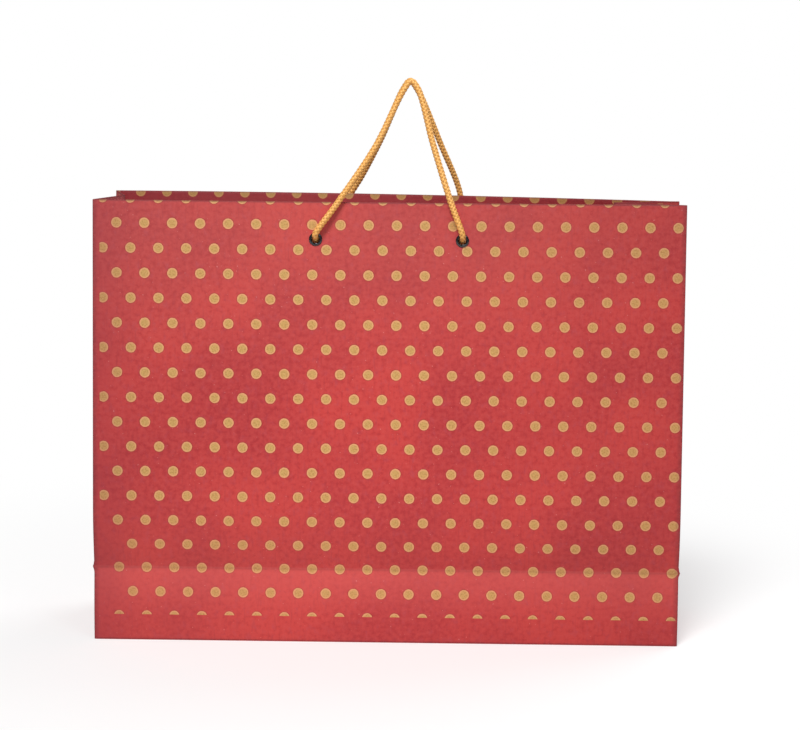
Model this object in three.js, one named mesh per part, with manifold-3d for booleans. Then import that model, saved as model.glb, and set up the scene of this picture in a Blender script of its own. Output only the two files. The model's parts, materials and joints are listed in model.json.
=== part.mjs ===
// Landscape paper gift bag with V-folded sides and two cord handles.
// Millimetres. Z is up, the front faces -Y, and the origin is the middle of the underside.
import * as THREE from "three";
import { mergeVertices } from "three/addons/utils/BufferGeometryUtils.js";
import Module from "manifold-3d";

const wasm = await Module();
wasm.setup();

// Bag
const WIDTH = 406;
const HEIGHT = 305;
const DEPTH = 102;
const CREASE_HEIGHT = DEPTH / 2;
const HALF_GUSSET = DEPTH / 2;

// How each wall stands. A reach is a wall's distance from the middle plane y = 0. Above the crease
// the wall bulges out by its tuck, then runs straight to the rim, whose middle bows out.
const TUCK_HEIGHT = 45;
const WALLS = {
  front: { facing: -1, crease: 47, tuck: 5.5, rimLeft: 31, rimRight: 31, bow: 5 },
  back: { facing: 1, crease: 48, tuck: 0, rimLeft: 67, rimRight: 8, bow: 18 },
};

// Paper and card
const PAPER = 0.25;
const CARD = 0.6;
const BOARD = 1.2;
const LAYER_GAP = 0.15;
const FOLD_GAP = 0.3;
const HEM_DEPTH = 38;
const RIM_CARD_HEIGHT = 34;
const SEAM_LAP_WIDTH = 15;
const PANEL_HEIGHTS = [CREASE_HEIGHT + FOLD_GAP, HEIGHT];
const PANEL_ROWS = 14;
const SEAM_LAP_ROWS = 11;

// Layers of the rim, as distances inwards from the outer skin of the paper
const PANEL_LAYER = [0, PAPER];
const CARD_LAYER = [PANEL_LAYER[1] + LAYER_GAP, PANEL_LAYER[1] + LAYER_GAP + CARD];
const HEM_LAYER = [CARD_LAYER[1] + LAYER_GAP, CARD_LAYER[1] + LAYER_GAP + PAPER];
const GUSSET_HEM_LAYER = [PAPER + LAYER_GAP, 2 * PAPER + LAYER_GAP];
const WASHER_LAYER = [HEM_LAYER[1] + LAYER_GAP, HEM_LAYER[1] + LAYER_GAP + 0.3];
const CORNER_CLEARANCE = 8;

// Base flaps and insert
const FLAP_OVERLAP = 20;
const FLAP_WIDTH = WIDTH - 2 * (PAPER + LAYER_GAP + FOLD_GAP);
const SIDE_FLAP_LENGTH = 51;
const SIDE_FLAP_MITRE = 15;
const INSERT_LENGTH = 396;
const INSERT_DEPTH = 97;

// Eyelets
const EYELET_SPACING = 100;
const EYELET_DROP = 25.4;
const BORE_RADIUS = 2.5;
const BARREL_RADIUS = 2.8;
const FLANGE_RADIUS = 4.5;
const FLANGE_CROWN = 0.85;
const ROLL_RADIUS = 4.3;
const ROLL_HEIGHT = 0.8;
const WASHER_RADIUS = 5;
const HOLE_RADIUS = BARREL_RADIUS + FOLD_GAP;
const EYELET_SEGMENTS = 20;
const ARC_POINTS = 5;

// Cords
const CORD_RADIUS = 2.15;
const CORD_SIDES = 10;
const CORD_STEPS = 40;
const KNOT_RADIUS = 4.4;
const KNOT_SQUASH = 0.9;
const TAIL_LENGTH = 15;
const APEX = { x: 13.4, z: 386.9 };
const SHOULDER = { out: 4.8, down: 5.5 };
const HANDLES = {
  front: { rimLeft: -34.8, rimRight: 42, bendLeft: 3.7, bendRight: 0, apexReach: 23 },
  back: { rimLeft: -30, rimRight: 50.2, bendLeft: 2, bendRight: 0, apexReach: 24 },
};
const PIVOT_OUT = LAYER_GAP + FLANGE_CROWN + FOLD_GAP + CORD_RADIUS;

const { lerp } = THREE.MathUtils;

// ---- Materials ----

const MATERIALS = {
  paper: new THREE.MeshStandardMaterial({ color: 0xc84a48, roughness: 0.85, metalness: 0 }),
  card: new THREE.MeshStandardMaterial({ color: 0xb9a58a, roughness: 0.95, metalness: 0 }),
  eyelet: new THREE.MeshStandardMaterial({ color: 0x1d1c20, roughness: 0.25, metalness: 1 }),
  cord: new THREE.MeshStandardMaterial({ color: 0xd9983f, roughness: 0.55, metalness: 0 }),
};

// ---- Solids ----

function welded(geometry) {
  const bare = geometry.clone();
  bare.deleteAttribute("normal");
  bare.deleteAttribute("uv");
  return mergeVertices(bare, 1e-4);
}

function toManifold(geometry) {
  const solid = welded(geometry);
  return new wasm.Manifold(new wasm.Mesh({
    numProp: 3,
    vertProperties: new Float32Array(solid.attributes.position.array),
    triVerts: new Uint32Array(solid.index.array),
  }));
}

function toGeometry(manifold) {
  const mesh = manifold.getMesh();
  const geometry = new THREE.BufferGeometry();
  geometry.setAttribute("position", new THREE.BufferAttribute(mesh.vertProperties, mesh.numProp));
  geometry.setIndex(new THREE.BufferAttribute(mesh.triVerts, 1));
  return geometry;
}

function joined(first, ...others) {
  return toGeometry(others.reduce((sum, one) => sum.add(toManifold(one)), toManifold(first)));
}

function drilled(geometry, drills) {
  return toGeometry(drills.reduce((rest, drill) => rest.subtract(toManifold(drill)), toManifold(geometry)));
}

// ---- Surfaces of the bag ----

function reach(wall, x, z) {
  if (z <= CREASE_HEIGHT) {
    return lerp(DEPTH / 2, wall.crease, z / CREASE_HEIGHT);
  }
  const up = (z - CREASE_HEIGHT) / (HEIGHT - CREASE_HEIGHT);
  const rim = lerp(wall.rimLeft, wall.rimRight, x / WIDTH + 0.5);
  const fade = Math.min((z - CREASE_HEIGHT) / TUCK_HEIGHT, 1);
  const tuck = wall.tuck * (1 + Math.cos(Math.PI * fade)) / 2;
  const bow = wall.bow * (1 - (2 * x / WIDTH) ** 2) * up ** 2;
  return lerp(wall.crease + wall.tuck, rim, up) - tuck + bow;
}

function wallPoint(wall, x, z) {
  return new THREE.Vector3(x, wall.facing * reach(wall, x, z), z);
}

// A point of a side. `along` runs from -1 at the front corner, over 0 at the middle fold, to 1 at the
// back corner. The paper's width sets how far the fold stands in. Below the crease the side is
// three triangles that meet in the fold's foot.
function gussetPoint(side, along, z) {
  const corner = side * WIDTH / 2;
  const front = -reach(WALLS.front, corner, z);
  const back = reach(WALLS.back, corner, z);
  const halfGap = (reach(WALLS.front, corner, Math.max(z, CREASE_HEIGHT))
    + reach(WALLS.back, corner, Math.max(z, CREASE_HEIGHT))) / 2;
  const foldInset = Math.sqrt(HALF_GUSSET ** 2 - halfGap ** 2);
  const towardsFold = 1 - Math.abs(along);
  const inset = foldInset * Math.min(towardsFold, z / CREASE_HEIGHT);
  return new THREE.Vector3(corner - side * inset, lerp(front, back, (along + 1) / 2), z);
}

// Inward normal of a surface whose u runs anticlockwise round the bag, seen from above.
function inward(point, u, z, step) {
  const round = point(u + step, z).sub(point(u - step, z));
  const up = point(u, z + 0.01).sub(point(u, z - 0.01));
  return up.cross(round).normalize();
}

// Indices round the border of a plane grid, anticlockwise as seen from the grid's front.
function borderOf(across, up) {
  const row = across + 1;
  const bottom = Array.from({ length: across }, (_, i) => up * row + i);
  const right = Array.from({ length: up }, (_, i) => (up - i) * row + across);
  const top = Array.from({ length: across }, (_, i) => across - i);
  const left = Array.from({ length: up }, (_, i) => i * row);
  return [...bottom, ...right, ...top, ...left];
}

// Sheet of paper or card between two distances inwards from a surface: a plane grid laid on the
// surface at each distance, both split into the same triangles, with a strip that joins their borders.
function sheet(point, [u0, u1], [z0, z1], layer, [across, up]) {
  const grid = new THREE.PlaneGeometry(1, 1, across, up);
  const at = grid.attributes.position;
  const places = [];
  for (const depth of layer) {
    for (let i = 0; i < at.count; i += 1) {
      const u = lerp(u0, u1, at.getX(i) + 0.5);
      const z = lerp(z0, z1, at.getY(i) + 0.5);
      const normal = inward(point, u, z, (u1 - u0) * 1e-4);
      places.push(...point(u, z).addScaledVector(normal, depth).toArray());
    }
  }
  const outer = Array.from(grid.index.array);
  const inner = outer.map((index) => index + at.count).reverse();
  const border = borderOf(across, up);
  const rim = border.flatMap((a, i) => {
    const b = border[(i + 1) % border.length];
    return [b, a, a + at.count, b, a + at.count, b + at.count];
  });
  const geometry = new THREE.BufferGeometry();
  geometry.setAttribute("position", new THREE.Float32BufferAttribute(places, 3));
  return geometry.setIndex([...outer, ...inner, ...rim]);
}

function wallSheet(wall, halfWidth, heights, layer, grid) {
  const across = [wall.facing * halfWidth, -wall.facing * halfWidth];
  return sheet((x, z) => wallPoint(wall, x, z), across, heights, layer, grid);
}

function gussetSheet(side, [first, last], heights, layer, grid) {
  const along = side > 0 ? [first, last] : [last, first];
  return sheet((a, z) => gussetPoint(side, a, z), along, heights, layer, grid);
}

// Local frame on a wall: X along the wall, Y inwards, Z up.
function wallFrame(wall, x, z) {
  const point = (u, v) => wallPoint(wall, u, v);
  const normal = inward(point, x, z, -wall.facing * 0.01);
  const up = new THREE.Vector3(0, 0, 1).addScaledVector(normal, -normal.z).normalize();
  const along = new THREE.Vector3().crossVectors(normal, up);
  return new THREE.Matrix4().makeBasis(along, normal, up).setPosition(point(x, z));
}

// ---- Pieces ----

function panel(wall) {
  const flat = wallSheet(wall, WIDTH / 2, PANEL_HEIGHTS, PANEL_LAYER, [20, PANEL_ROWS]);
  return drilled(flat, eyeletDrills(wall));
}

function hem(wall) {
  const heights = [HEIGHT - HEM_DEPTH, HEIGHT - LAYER_GAP];
  const flat = wallSheet(wall, WIDTH / 2 - CORNER_CLEARANCE, heights, HEM_LAYER, [20, 2]);
  return drilled(flat, eyeletDrills(wall));
}

function rimCard(wall) {
  const heights = [HEIGHT - PAPER - RIM_CARD_HEIGHT, HEIGHT - PAPER];
  const flat = wallSheet(wall, WIDTH / 2 - CORNER_CLEARANCE, heights, CARD_LAYER, [20, 2]);
  return drilled(flat, eyeletDrills(wall));
}

function skirt(wall) {
  const heights = [PAPER + LAYER_GAP, CREASE_HEIGHT];
  return wallSheet(wall, WIDTH / 2, heights, PANEL_LAYER, [4, 4]);
}

// Glued lap of the side seam, inside the front wall's left edge. Its rows line up with the panel's.
function seamLap() {
  const start = CORNER_CLEARANCE / 2 - WIDTH / 2;
  const [foot, rim] = PANEL_HEIGHTS;
  const heights = [foot, lerp(foot, rim, SEAM_LAP_ROWS / PANEL_ROWS)];
  const layer = [PAPER + LAYER_GAP, 2 * PAPER + LAYER_GAP];
  const point = (x, z) => wallPoint(WALLS.front, x, z);
  return sheet(point, [start, start + SEAM_LAP_WIDTH], heights, layer, [1, SEAM_LAP_ROWS]);
}

function gussetHalf(side, half) {
  const corner = 1 - 2 / HALF_GUSSET;
  const fold = FOLD_GAP / HALF_GUSSET;
  const ends = half < 0 ? [-corner, -fold] : [fold, corner];
  return gussetSheet(side, ends, [CREASE_HEIGHT + FOLD_GAP, HEIGHT], PANEL_LAYER, [6, 24]);
}

function gussetHem(side, half) {
  const corner = 1 - CORNER_CLEARANCE / HALF_GUSSET;
  const fold = 3 * FOLD_GAP / HALF_GUSSET;
  const ends = half < 0 ? [-corner, -fold] : [fold, corner];
  return gussetSheet(side, ends, [HEIGHT - HEM_DEPTH, HEIGHT - LAYER_GAP], GUSSET_HEM_LAYER, [6, 4]);
}

function gussetFoot(side) {
  const corner = 1 - 2 * PAPER / HALF_GUSSET;
  return gussetSheet(side, [-corner, corner], [0, CREASE_HEIGHT], PANEL_LAYER, [12, 6]);
}

function frontFlap() {
  const length = DEPTH / 2 + FLAP_OVERLAP;
  const flap = new THREE.BoxGeometry(FLAP_WIDTH, length, PAPER);
  return flap.translate(0, FLAP_OVERLAP - length / 2, PAPER / 2);
}

// The back flap steps up over the front flap's edge and is glued on top of it.
function backFlap() {
  const edge = DEPTH / 2;
  const stepStart = FLAP_OVERLAP + 4 * FOLD_GAP;
  const stepEnd = FLAP_OVERLAP + FOLD_GAP;
  const raised = PAPER + LAYER_GAP;
  const outline = new THREE.Shape([
    new THREE.Vector2(-FLAP_OVERLAP, raised),
    new THREE.Vector2(stepEnd, raised),
    new THREE.Vector2(stepStart, 0),
    new THREE.Vector2(edge, 0),
    new THREE.Vector2(edge, PAPER),
    new THREE.Vector2(stepStart, PAPER),
    new THREE.Vector2(stepEnd, raised + PAPER),
    new THREE.Vector2(-FLAP_OVERLAP, raised + PAPER),
  ]);
  const strip = new THREE.ExtrudeGeometry(outline, { depth: FLAP_WIDTH, bevelEnabled: false });
  strip.applyMatrix4(new THREE.Matrix4().makeBasis(
    new THREE.Vector3(0, 1, 0), new THREE.Vector3(0, 0, 1), new THREE.Vector3(1, 0, 0),
  ));
  return strip.translate(-FLAP_WIDTH / 2, 0, 0);
}

function sideFlap(side) {
  const outer = FLAP_WIDTH / 2 - FOLD_GAP;
  const inner = outer - SIDE_FLAP_LENGTH;
  const wide = DEPTH / 2 - 2;
  const narrow = wide - SIDE_FLAP_MITRE;
  const outline = new THREE.Shape([
    new THREE.Vector2(inner, -narrow),
    new THREE.Vector2(outer, -wide),
    new THREE.Vector2(outer, wide),
    new THREE.Vector2(inner, narrow),
  ]);
  const flap = new THREE.ExtrudeGeometry(outline, { depth: PAPER, bevelEnabled: false });
  flap.rotateZ(side < 0 ? Math.PI : 0);
  return flap.translate(0, 0, 2 * (PAPER + LAYER_GAP));
}

function insertBoard() {
  const bottom = 3 * (PAPER + LAYER_GAP) + LAYER_GAP;
  return new THREE.BoxGeometry(INSERT_LENGTH, INSERT_DEPTH, BOARD).translate(0, 0, bottom + BOARD / 2);
}

// ---- Eyelets and cords ----

function eyeletPlaces(wall) {
  return [-1, 1].map((side) => wallFrame(wall, side * EYELET_SPACING / 2, HEIGHT - EYELET_DROP));
}

function eyeletDrills(wall) {
  return eyeletPlaces(wall).map((place) => (
    new THREE.CylinderGeometry(HOLE_RADIUS, HOLE_RADIUS, 8, EYELET_SEGMENTS).applyMatrix4(place)
  ));
}

function lathe(points) {
  return new THREE.LatheGeometry(points.map(([r, y]) => new THREE.Vector2(r, y)), EYELET_SEGMENTS);
}

// Domed flange outside, barrel through the layers, and the barrel's end rolled over the washer.
function eyelet() {
  const under = -LAYER_GAP;
  const crown = under - FLANGE_CROWN;
  const roll = WASHER_LAYER[1] + LAYER_GAP;
  const top = roll + ROLL_HEIGHT;
  const crownRadius = (BORE_RADIUS + FLANGE_RADIUS) / 2;
  const rollCentre = (BORE_RADIUS + ROLL_RADIUS) / 2;
  const dome = Array.from({ length: ARC_POINTS }, (_, i) => {
    const turn = Math.PI * (1 - i / (ARC_POINTS - 1));
    const half = (FLANGE_RADIUS - BORE_RADIUS) / 2;
    return [crownRadius + half * Math.cos(turn), (under + crown) / 2 - (FLANGE_CROWN / 2) * Math.sin(turn)];
  });
  const bead = Array.from({ length: ARC_POINTS }, (_, i) => {
    const turn = Math.PI * i / (ARC_POINTS - 1);
    const half = (ROLL_RADIUS - BORE_RADIUS) / 2;
    return [rollCentre + half * Math.cos(turn), roll + ROLL_HEIGHT / 2 + (top - roll) / 2 * Math.sin(turn)];
  });
  const start = [FLANGE_RADIUS, under];
  return lathe([start, [BARREL_RADIUS, under], [BARREL_RADIUS, roll], [ROLL_RADIUS, roll], ...bead, ...dome, start]);
}

function washer() {
  const [near, far] = WASHER_LAYER;
  const start = [WASHER_RADIUS, near];
  return lathe([start, [WASHER_RADIUS, far], [HOLE_RADIUS, far], [HOLE_RADIUS, near], start]);
}

// Cord from the eyelet's mouth to the stopper knot inside, with its cut tail hanging down.
function cordEnd() {
  const mouth = -LAYER_GAP - FLANGE_CROWN;
  const knotCentre = WASHER_LAYER[1] + ROLL_HEIGHT + LAYER_GAP + FOLD_GAP + KNOT_RADIUS * KNOT_SQUASH;
  const stub = new THREE.CylinderGeometry(CORD_RADIUS, CORD_RADIUS, knotCentre - mouth, CORD_SIDES);
  stub.translate(0, (knotCentre + mouth) / 2, 0);
  const knot = new THREE.SphereGeometry(KNOT_RADIUS, 12, 8).scale(1, KNOT_SQUASH, 1).translate(0, knotCentre, 0);
  const tail = new THREE.CylinderGeometry(CORD_RADIUS, CORD_RADIUS, TAIL_LENGTH, CORD_SIDES);
  tail.rotateX(Math.PI / 2).translate(0, knotCentre, -TAIL_LENGTH / 2);
  return joined(stub, knot, tail);
}

// Where the cord bends up from an eyelet's mouth: the ends of the handle's hinge line.
function pivots(wall) {
  return eyeletPlaces(wall).map((place) => new THREE.Vector3(0, -PIVOT_OUT, 0).applyMatrix4(place));
}

// A handle rises from each pivot over the rim, bends towards the middle halfway up its leg, and turns
// over its apex between two shoulders.
function handlePath(wall, handle) {
  const [left, right] = pivots(wall);
  const overRim = (x) => wallPoint(wall, x, HEIGHT).add(
    new THREE.Vector3(0, wall.facing * (CORD_RADIUS + 2 * FOLD_GAP), 0),
  );
  const apex = new THREE.Vector3(APEX.x, wall.facing * handle.apexReach, APEX.z);
  const leg = (side, rimX, bend) => {
    const rim = overRim(rimX);
    const shoulder = rim.clone().lerp(apex, 1 - SHOULDER.down / (APEX.z - HEIGHT));
    shoulder.x = APEX.x + side * SHOULDER.out;
    const middle = rim.clone().lerp(shoulder, 0.5);
    middle.x += bend;
    return [rim, middle, shoulder];
  };
  const up = leg(-1, handle.rimLeft, handle.bendLeft);
  const down = leg(1, handle.rimRight, handle.bendRight).reverse();
  return new THREE.CatmullRomCurve3([left, ...up, apex, ...down, right]);
}

function handleCord(wall, handle) {
  const path = handlePath(wall, handle);
  const round = new THREE.Shape().absarc(0, 0, CORD_RADIUS, 0, 2 * Math.PI);
  const cord = new THREE.ExtrudeGeometry(round, {
    steps: CORD_STEPS, curveSegments: CORD_SIDES, bevelEnabled: false, extrudePath: path,
  });
  const ends = pivots(wall).map((end) => (
    new THREE.SphereGeometry(CORD_RADIUS, CORD_SIDES, 8).translate(end.x, end.y, end.z)
  ));
  return joined(cord, ...ends);
}

// ---- The bag ----

function piece(name, geometry, material, place) {
  const mesh = new THREE.Mesh(geometry, material);
  mesh.name = name;
  if (place) {
    place.decompose(mesh.position, mesh.quaternion, mesh.scale);
  }
  return mesh;
}

function wallGroup(name) {
  const wall = WALLS[name];
  const group = new THREE.Group();
  group.add(
    piece(`${name}_panel`, panel(wall), MATERIALS.paper),
    piece(`${name}_hem`, hem(wall), MATERIALS.paper),
    piece(`${name}_rim_card`, rimCard(wall), MATERIALS.card),
  );
  ["left", "right"].forEach((side, i) => {
    const place = eyeletPlaces(wall)[i];
    group.add(
      piece(`${name}_${side}_eyelet`, eyelet(), MATERIALS.eyelet, place),
      piece(`${name}_${side}_washer`, washer(), MATERIALS.eyelet, place),
      piece(`${name}_cord_${side}_end`, cordEnd(), MATERIALS.cord, place),
    );
  });
  return group;
}

function baseGroup() {
  const group = new THREE.Group();
  group.add(
    piece("base_front_flap", frontFlap(), MATERIALS.paper),
    piece("base_back_flap", backFlap(), MATERIALS.paper),
    piece("front_skirt", skirt(WALLS.front), MATERIALS.paper),
    piece("back_skirt", skirt(WALLS.back), MATERIALS.paper),
  );
  for (const [name, side] of [["left", -1], ["right", 1]]) {
    group.add(
      piece(`base_${name}_flap`, sideFlap(side), MATERIALS.paper),
      piece(`${name}_gusset_foot`, gussetFoot(side), MATERIALS.paper),
    );
    for (const [half, sign] of [["front", -1], ["rear", 1]]) {
      group.add(
        piece(`${name}_gusset_${half}`, gussetHalf(side, sign), MATERIALS.paper),
        piece(`${name}_gusset_${half}_hem`, gussetHem(side, sign), MATERIALS.paper),
      );
    }
  }
  return group;
}

const bag = new THREE.Group();
const front = wallGroup("front");
const back = wallGroup("back");
front.add(piece("side_seam_lap", seamLap(), MATERIALS.paper));
bag.add(
  baseGroup(),
  piece("base_insert", insertBoard(), MATERIALS.card),
  front,
  back,
  piece("front_cord", handleCord(WALLS.front, HANDLES.front), MATERIALS.cord),
  piece("back_cord", handleCord(WALLS.back, HANDLES.back), MATERIALS.cord),
);

export default bag;
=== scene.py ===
"""Landscape paper gift bag with V-folded sides and two braided cord handles, built round its frame.

Lengths are millimetres until a mesh is made. Z is up and the front faces -Y. Paper coordinates are
u, the distance round the bag from its front left corner, and v, the distance down from the rim, which
is negative on the edge turned in at the rim.
"""
import json
import math

import bpy
import numpy as np
from mathutils import Matrix, Vector
from mathutils.bvhtree import BVHTree


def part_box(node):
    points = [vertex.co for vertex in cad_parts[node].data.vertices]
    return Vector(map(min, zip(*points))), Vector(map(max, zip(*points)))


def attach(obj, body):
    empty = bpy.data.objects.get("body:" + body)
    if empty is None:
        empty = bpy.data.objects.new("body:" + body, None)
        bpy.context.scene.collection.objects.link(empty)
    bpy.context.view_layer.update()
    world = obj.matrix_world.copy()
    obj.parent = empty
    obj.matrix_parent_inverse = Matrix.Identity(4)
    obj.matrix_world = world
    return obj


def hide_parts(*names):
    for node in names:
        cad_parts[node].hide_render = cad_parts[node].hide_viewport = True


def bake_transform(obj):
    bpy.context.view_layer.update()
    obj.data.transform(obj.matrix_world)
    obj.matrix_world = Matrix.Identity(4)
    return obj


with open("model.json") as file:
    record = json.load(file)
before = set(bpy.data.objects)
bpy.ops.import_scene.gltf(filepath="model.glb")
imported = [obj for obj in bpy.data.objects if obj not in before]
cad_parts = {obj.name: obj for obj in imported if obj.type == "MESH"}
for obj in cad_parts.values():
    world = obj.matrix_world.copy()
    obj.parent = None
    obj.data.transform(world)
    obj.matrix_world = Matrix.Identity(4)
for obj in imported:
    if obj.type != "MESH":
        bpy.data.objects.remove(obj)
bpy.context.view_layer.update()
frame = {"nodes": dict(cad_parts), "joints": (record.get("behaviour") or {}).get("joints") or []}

MM = 0.001

# Paper and card, as in the frame
PAPER = 0.25
CARD_LAYER = (0.40, 1.00)
WALL_HEM_DEPTH = 1.40
CORNER_HEM_DEPTH = 0.65
LAP_LAYER = (0.40, 0.65)
LAP_EDGE_GAP = 4
LAP_WIDTH = 15
TUCK_HEIGHT = 45
CARD_END_GAP = 8

# Folds and mesh spacing
CORNER_FILLET = 0.5
CORNER_MARGIN = 1.5
CORNER_TURNS = np.array([0, 0.25, 0.5, 0.75, 1, 2])
CORNER_COLUMNS = len(CORNER_TURNS)
BETWEEN_CORNERS = slice(CORNER_COLUMNS, -CORNER_COLUMNS)
FLAT_SHARES = np.linspace(0, 1, 17)
FOLD_TURNS = np.array([0.125, 0.25, 0.375, 0.5])
KINK = 0.9
KINK_LENGTH = 12
BASE_FOLD_RADIUS = 0.5
FOOT_CELL = 1.5
GRID = 3.0
HOLE_RADIUS = 3.1
HOLE_SPREAD = 9.0
MITRE_LIMIT = 0.35
FADE_LENGTH = 30
STIFF_RIM = 38
SIDE_NAMES = {-1: "left", 1: "right"}
HALF_NAMES = {-1: "front", 1: "rear"}

# Print
DOT_PITCH = 19.18
ROW_PITCH = 17.06
FIRST_DOT = 16.45
FIRST_ROW = 16.0
DOT_RADIUS = 3.56
PRINT_LEAN = 0.004
PRINT_LEFT_EDGE = 4.9
PRINT_FOOT = 288.1
LOW_ROWS_TOP = 232.0
LOW_ROWS_LEFT_EDGE = 12.6
BACK_PRINT_SHIFT = 6.4
FAR_FROM_PRINT = 20.0


def box_mm(node):
    low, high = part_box(node)
    return np.array(low) / MM, np.array(high) / MM


def mesh_points(mesh):
    return np.array([vertex.co for vertex in mesh.vertices]) / MM


def joint(name):
    return next(each for each in frame["joints"] if each["name"] == name)


PANEL_LOW, PANEL_HIGH = box_mm("front_panel")
WIDTH = PANEL_HIGH[0] - PANEL_LOW[0]
HALF = WIDTH / 2
HEIGHT = PANEL_HIGH[2]
CREASE = joint("front_wall_lean")["pos_m"][2] / MM
BASE_REACH = -box_mm("front_skirt")[0][1]
HALF_GUSSET = BASE_REACH
HEM_FOOT = box_mm("front_hem")[0][2]
GIRTH = 2 * WIDTH + 4 * HALF_GUSSET
CREASE_V = HEIGHT - CREASE


def lerp(a, b, t):
    return a + (b - a) * t


def smooth(t):
    t = np.clip(t, 0, 1)
    return t * t * (3 - 2 * t)


def unit(vectors):
    return vectors / np.linalg.norm(vectors, axis=-1, keepdims=True)


def mitre(a, b):
    """The way to shift a corner between faces with these normals, so that each face moves by 1."""
    return (a + b) / np.maximum(1 + (a * b).sum(-1, keepdims=True), MITRE_LIMIT)


def rounded(a, b, c, t):
    """A point at t from 0 to 1 on the curve that rounds the corner b between a and c."""
    return (1 - t) ** 2 * a + 2 * t * (1 - t) * b + t ** 2 * c


def near_line(distance, width):
    """1 on a line, falling smoothly to 0 within a few widths of it."""
    return np.exp(-(distance / width) ** 2)


def ripple(seed, count, shortest, longest):
    """A smooth random height field of u and v, of about unit size."""
    random = np.random.default_rng(seed)
    angle = random.uniform(0, math.tau, count)
    wavelength = random.uniform(shortest, longest, count)
    phase = random.uniform(0, math.tau, count)

    def height(u, v):
        waves = [np.sin((u * math.cos(turn) + v * math.sin(turn)) * math.tau / length + start)
                 for turn, length, start in zip(angle, wavelength, phase)]
        return sum(waves) / math.sqrt(count)

    return height


BROAD_WAVES = ripple(11, 7, 70, 190)
FINE_WAVES = ripple(12, 9, 14, 40)


def paper_relief(u, v):
    """How far the paper's waves stand into the bag."""
    return 0.30 * BROAD_WAVES(u, v) + 0.035 * FINE_WAVES(u, v)


class Wall:
    """A broad wall, whose reach is how far its outer skin stands from the plane y = 0."""

    def __init__(self, name, facing):
        self.name = name
        self.facing = facing
        source = frame["nodes"][name + "_panel"].data
        corners = [vertex.co for vertex in source.vertices]
        faces = [tuple(polygon.vertices) for polygon in source.polygons]
        self.tree = BVHTree.FromPolygons(corners, faces)
        hair = 0.03
        edge, top = HALF - hair, HEIGHT - hair
        foot = box_mm(name + "_panel")[0][2] + hair
        self.crease = self.probe(0, foot)
        self.rim_left = self.probe(-edge, top)
        self.rim_right = self.probe(edge, top)
        self.bow = self.probe(0, top) - (self.rim_left + self.rim_right) / 2
        self.tuck = 2 * self.probe(edge, (CREASE + HEIGHT) / 2) - self.rim_right - self.crease
        self.eyelets = [self.eyelet(side) for side in ("left", "right")]

    def probe(self, x, z):
        start = Vector((x * MM, self.facing, z * MM))
        return self.facing * self.tree.ray_cast(start, Vector((0, -self.facing, 0)))[0].y / MM

    def eyelet(self, side):
        low, high = box_mm(f"{self.name}_{side}_eyelet")
        return (low[0] + high[0]) / 2, (low[2] + high[2]) / 2

    def reach(self, x, z):
        up = (z - CREASE) / (HEIGHT - CREASE)
        rim = lerp(self.rim_left, self.rim_right, x / WIDTH + 0.5)
        fade = np.clip((z - CREASE) / TUCK_HEIGHT, 0, 1)
        bow = self.bow * (1 - (2 * x / WIDTH) ** 2) * up ** 2
        above = lerp(self.crease + self.tuck, rim, up) - self.tuck * (1 - fade) ** 2 + bow
        below = lerp(BASE_REACH, self.crease, np.abs(z / CREASE) ** 1.8)
        return np.where(z <= CREASE, below, above)

    def skin(self, x, z):
        """Points on the outer skin, and unit normals into the bag."""
        x, z = np.broadcast_arrays(np.asarray(x, float), np.asarray(z, float))
        step = 0.05
        along = (self.reach(x + step, z) - self.reach(x - step, z)) / (2 * step)
        up = (self.reach(x, z + step) - self.reach(x, z - step)) / (2 * step)
        points = np.stack([x, self.facing * self.reach(x, z), z], -1)
        return points, unit(np.stack([along, -self.facing + 0 * x, up], -1))

    def paper_u(self, x):
        return x + HALF if self.facing < 0 else 2 * HALF_GUSSET + 1.5 * WIDTH - x


FRONT = Wall("front", -1)
BACK = Wall("back", 1)


def gusset_point(side, along, z):
    """A point of a folded side: along runs from -1 at the front corner through 0 at the fold to 1."""
    corner = side * HALF
    front = -FRONT.reach(corner, z)
    back = BACK.reach(corner, z)
    level = np.maximum(z, CREASE)
    half_gap = (FRONT.reach(corner, level) + BACK.reach(corner, level)) / 2
    fold_inset = np.sqrt(HALF_GUSSET ** 2 - half_gap ** 2)
    inset = fold_inset * np.minimum(1 - np.abs(along), z / CREASE)
    return np.stack([corner - side * inset, lerp(front, back, (along + 1) / 2), z + 0 * inset], -1)


def gusset_skin(side, along, z):
    """Points on a folded side's outer skin, and unit normals into the bag."""
    along, z = np.broadcast_arrays(np.asarray(along, float), np.asarray(z, float))
    step = 0.001
    across = gusset_point(side, along + step, z) - gusset_point(side, along - step, z)
    up = gusset_point(side, along, z + 0.05) - gusset_point(side, along, z - 0.05)
    normals = unit(np.cross(across, up))
    return gusset_point(side, along, z), normals * np.where(normals[..., :1] * side > 0, -1, 1)


def kinked(points):
    """The corners stick out a little where the sides fold down flat."""
    x, z = points[..., 0], points[..., 2]
    near_corner = smooth((np.abs(x) - HALF + KINK_LENGTH) / KINK_LENGTH)
    moved = points.copy()
    moved[..., 0] += np.sign(x) * KINK * near_line(z - CREASE, 2.2) * near_corner
    return moved


# ---- Meshes


def linked_object(name, data):
    made = bpy.data.objects.new(name, data)
    bpy.context.scene.collection.objects.link(made)
    return made


def add_attribute(mesh, name, vectors):
    layer = mesh.attributes.new(name, "FLOAT_VECTOR", "POINT")
    layer.data.foreach_set("vector", np.asarray(vectors, np.float32).ravel())


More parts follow.
